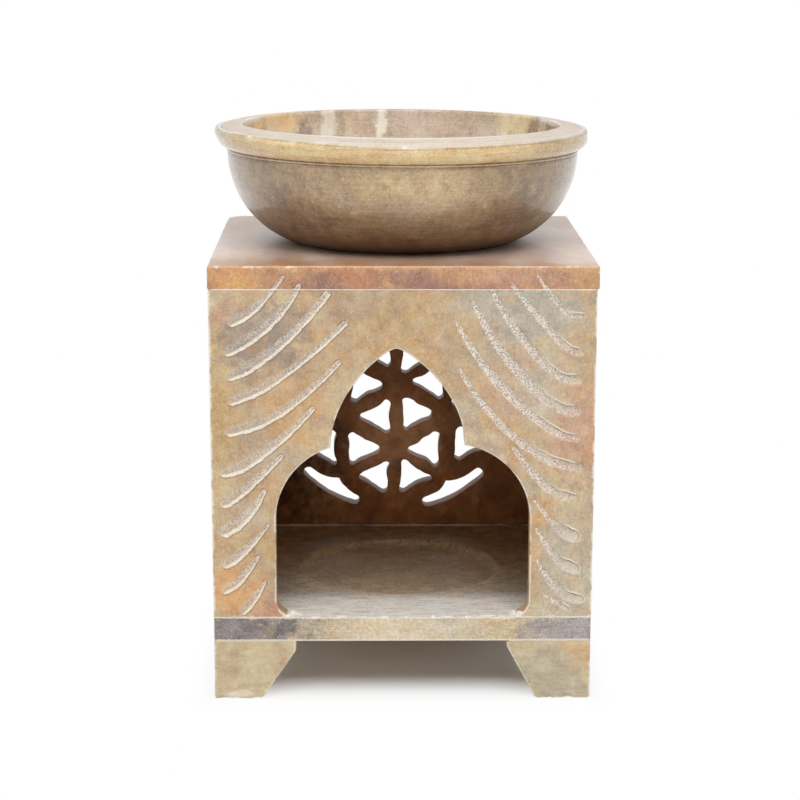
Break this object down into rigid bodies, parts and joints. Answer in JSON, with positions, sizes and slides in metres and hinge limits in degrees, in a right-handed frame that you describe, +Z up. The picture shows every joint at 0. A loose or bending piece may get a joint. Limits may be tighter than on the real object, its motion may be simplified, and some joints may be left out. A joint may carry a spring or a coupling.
{
  "type": "soapstone oil warmer",
  "caption": "Square stone tealight house on corner feet, with a trefoil doorway, a pierced back wall and a lift-off oil bowl on its roof.",
  "frame": {"origin": "on the table, under the middle of the square house", "axes": "+Z up, -Y towards the arched front, +X to the right seen from the front"},
  "size_m": [0.078, 0.078, 0.1131],
  "materials": {
    "bowl_stone": "turned soapstone, waxed to a satin sheen, taupe with cream and purple-grey veins",
    "roof_stone": "sawn soapstone, orange-brown with mauve patches, smooth top",
    "front_stone": "sawn soapstone, tan with grey-mauve and orange patches, rough pale carved strokes",
    "back_stone": "sawn and pierced soapstone, brown",
    "wall_stone": "sawn soapstone, tan",
    "base_stone": "sawn soapstone, purple-grey and beige",
    "foot_stone": "sawn soapstone, beige with chipped corners",
    "bond": "set stone adhesive, pale cream"
  },
  "bodies": {
    "house": {"roof_slab": "roof_stone", "front_wall": "front_stone", "back_wall": "back_stone", "left_wall": "wall_stone", "right_wall": "wall_stone", "base_slab": "base_stone", "front_left_foot": "foot_stone", "front_right_foot": "foot_stone", "back_left_foot": "foot_stone", "back_right_foot": "foot_stone", "roof_bond": "bond", "base_bond": "bond", "front_left_seam_bond": "bond", "front_right_seam_bond": "bond", "back_left_seam_bond": "bond", "back_right_seam_bond": "bond", "front_left_foot_bond": "bond", "front_right_foot_bond": "bond", "back_left_foot_bond": "bond", "back_right_foot_bond": "bond"},
    "bowl": {"oil_bowl": "bowl_stone"}
  },
  "joints": [
    {"name": "bowl_lift", "type": "slide", "parent": "house", "child": "bowl", "axis": [0, 0, 1], "range_m": [0, 0.06]}
  ]
}
